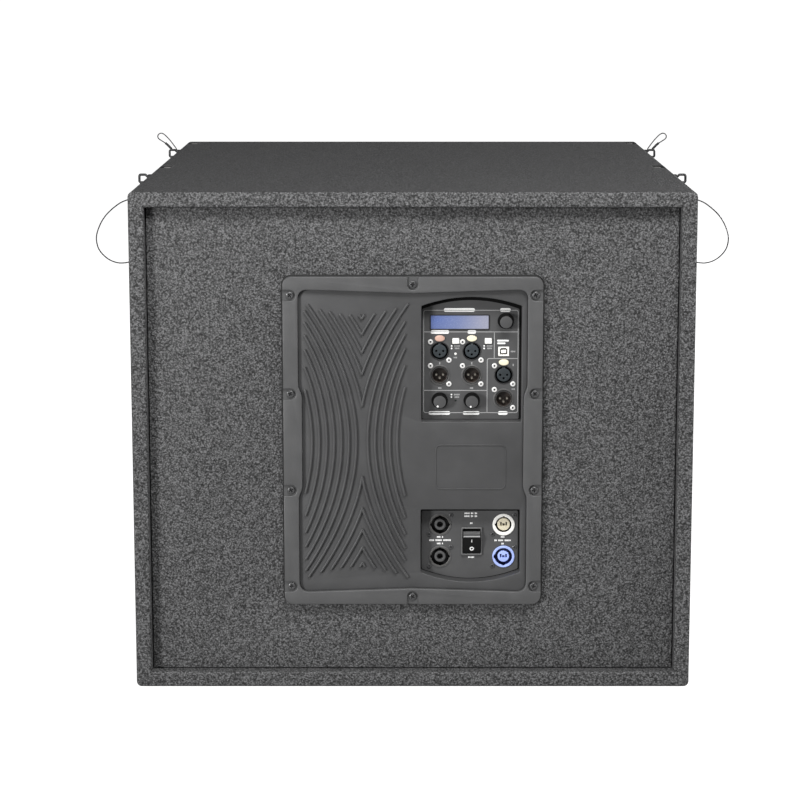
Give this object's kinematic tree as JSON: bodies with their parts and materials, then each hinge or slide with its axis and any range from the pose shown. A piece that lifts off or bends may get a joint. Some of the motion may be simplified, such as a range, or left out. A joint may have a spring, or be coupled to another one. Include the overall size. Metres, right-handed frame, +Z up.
{
  "type": "powered subwoofer",
  "caption": "Large powered subwoofer cabinet with rear amplifier plate, rigging link bars, tethered lock pins and side handles",
  "frame": {"origin": "centre of the footprint of the cabinet, on the surface it stands on", "axes": "+Z up; -Y out of the rear amplifier plate; +Y out of the front grille; +X to the right of a person who faces the amplifier"},
  "size_m": [0.8092, 0.7, 0.6001],
  "materials": {
    "cabinet_paint": "coarse textured black paint on plywood",
    "plywood": "bare birch plywood",
    "grille_steel": "perforated steel, matt black powder coat",
    "plate_paint": "cast alloy, satin dark grey paint",
    "panel_paint": "flat sheet steel, matt dark grey paint with white print",
    "zinc_steel": "bright zinc plated steel",
    "black_steel": "black oxide or black powder coat",
    "black_plastic": "moulded black plastic",
    "knob_plastic": "soft touch charcoal plastic",
    "white_plastic": "moulded white plastic",
    "blue_plastic": "moulded blue plastic",
    "cream_plastic": "moulded cream plastic push tab",
    "display_glass": "unlit display window",
    "basket_alloy": "die-cast alloy, black paint",
    "magnet_steel": "ferrite and steel plates",
    "cone_paper": "coated paper",
    "surround_rubber": "treated cloth or rubber",
    "circuit_board": "circuit board and its parts"
  },
  "bodies": {
    "root": {"top_panel": "cabinet_paint", "bottom_panel": "cabinet_paint", "left_side_panel": "cabinet_paint", "right_side_panel": "cabinet_paint", "rear_panel": "cabinet_paint", "front_baffle": "cabinet_paint", "port_shelf": "plywood", "port_divider": "plywood", "front_grille": "grille_steel", "handle_left": "black_plastic", "handle_right": "black_plastic", "rail_rear_left": "black_steel", "rail_rear_right": "black_steel", "rail_front_left": "black_steel", "rail_front_right": "black_steel", "woofer_basket": "basket_alloy", "woofer_magnet": "magnet_steel", "woofer_surround": "surround_rubber", "woofer_spider": "surround_rubber", "amp_plate": "plate_paint", "amp_chassis": "black_steel", "amp_board": "circuit_board", "control_panel": "panel_paint", "display": "display_glass", "xlr_female_1": "black_plastic", "xlr_male_1": "black_plastic", "xlr_female_2": "black_plastic", "xlr_male_2": "black_plastic", "xlr_female_3": "black_plastic", "xlr_male_3": "black_plastic", "usb_port": "white_plastic", "power_panel": "panel_paint", "speaker_outlet_1": "black_plastic", "speaker_outlet_2": "black_plastic", "mains_out": "white_plastic", "mains_in": "blue_plastic", "switch_frame": "black_plastic"},
    "cone": {"woofer_cone": "cone_paper"},
    "link_rear_left": {"link_bar_rear_left": "zinc_steel"},
    "pin_rear_left": {"lock_pin_rear_left": "black_steel", "lanyard_rear_left": "black_steel"},
    "link_rear_right": {"link_bar_rear_right": "zinc_steel"},
    "pin_rear_right": {"lock_pin_rear_right": "black_steel", "lanyard_rear_right": "black_steel"},
    "link_front_left": {"link_bar_front_left": "zinc_steel"},
    "pin_front_left": {"lock_pin_front_left": "black_steel", "lanyard_front_left": "black_steel"},
    "link_front_right": {"link_bar_front_right": "zinc_steel"},
    "pin_front_right": {"lock_pin_front_right": "black_steel", "lanyard_front_right": "black_steel"},
    "encoder": {"encoder_shaft": "zinc_steel"},
    "menu_dial": {"menu_knob": "knob_plastic"},
    "gain_1": {"gain_knob_1": "knob_plastic"},
    "gain_2": {"gain_knob_2": "knob_plastic"},
    "button_1": {"push_button_1": "white_plastic"},
    "button_2": {"push_button_2": "white_plastic"},
    "latch_1": {"xlr_latch_1": "cream_plastic"},
    "latch_2": {"xlr_latch_2": "cream_plastic"},
    "latch_3": {"xlr_latch_3": "cream_plastic"},
    "switch_rocker": {"rocker": "black_plastic"}
  },
  "joints": [
    {"name": "cone_excursion", "type": "slide", "parent": "root", "child": "cone", "axis": [0, 1, 0], "range_m": [-0.008, 0.008], "stiffness_N_per_m": 6000},
    {"name": "link_lift_rear_left", "type": "slide", "parent": "root", "child": "link_rear_left", "axis": [0, 0, 1], "range_m": [0, 0.06]},
    {"name": "pin_pull_rear_left", "type": "slide", "parent": "root", "child": "pin_rear_left", "axis": [-1, 0, 0], "range_m": [0, 0.045]},
    {"name": "link_lift_rear_right", "type": "slide", "parent": "root", "child": "link_rear_right", "axis": [0, 0, 1], "range_m": [0, 0.06]},
    {"name": "pin_pull_rear_right", "type": "slide", "parent": "root", "child": "pin_rear_right", "axis": [1, 0, 0], "range_m": [0, 0.045]},
    {"name": "link_lift_front_left", "type": "slide", "parent": "root", "child": "link_front_left", "axis": [0, 0, 1], "range_m": [0, 0.06]},
    {"name": "pin_pull_front_left", "type": "slide", "parent": "root", "child": "pin_front_left", "axis": [-1, 0, 0], "range_m": [0, 0.045]},
    {"name": "link_lift_front_right", "type": "slide", "parent": "root", "child": "link_front_right", "axis": [0, 0, 1], "range_m": [0, 0.06]},
    {"name": "pin_pull_front_right", "type": "slide", "parent": "root", "child": "pin_front_right", "axis": [1, 0, 0], "range_m": [0, 0.045]},
    {"name": "menu_push", "type": "slide", "parent": "root", "child": "encoder", "axis": [0, 1, 0], "range_m": [0, 0.0008], "stiffness_N_per_m": 2500, "springref_m": -0.001},
    {"name": "menu_turn", "type": "hinge", "parent": "encoder", "child": "menu_dial", "pos_m": [0.1078, -0.333, 0.4327], "axis": [0, 1, 0], "continuous": true},
    {"name": "gain_turn_1", "type": "hinge", "parent": "root", "child": "gain_1", "pos_m": [0.0314, -0.33, 0.3388], "axis": [0, 1, 0], "range_deg": [0, 300]},
    {"name": "gain_turn_2", "type": "hinge", "parent": "root", "child": "gain_2", "pos_m": [0.0687, -0.33, 0.3388], "axis": [0, 1, 0], "range_deg": [0, 300]},
    {"name": "button_press_1", "type": "slide", "parent": "root", "child": "button_1", "axis": [0, 1, 0], "range_m": [0, 0.0025], "stiffness_N_per_m": 800, "springref_m": -0.001},
    {"name": "button_press_2", "type": "slide", "parent": "root", "child": "button_2", "axis": [0, 1, 0], "range_m": [0, 0.0025], "stiffness_N_per_m": 800, "springref_m": -0.001},
    {"name": "latch_press_1", "type": "slide", "parent": "root", "child": "latch_1", "axis": [0, 1, 0], "range_m": [0, 0.0015], "stiffness_N_per_m": 1500, "springref_m": -0.001},
    {"name": "latch_press_2", "type": "slide", "parent": "root", "child": "latch_2", "axis": [0, 1, 0], "range_m": [0, 0.0015], "stiffness_N_per_m": 1500, "springref_m": -0.001},
    {"name": "latch_press_3", "type": "slide", "parent": "root", "child": "latch_3", "axis": [0, 1, 0], "range_m": [0, 0.0015], "stiffness_N_per_m": 1500, "springref_m": -0.001},
    {"name": "switch_rock", "type": "hinge", "parent": "root", "child": "switch_rocker", "pos_m": [0.0694, -0.319, 0.17], "axis": [-1, 0, 0], "range_deg": [0, 18]}
  ]
}
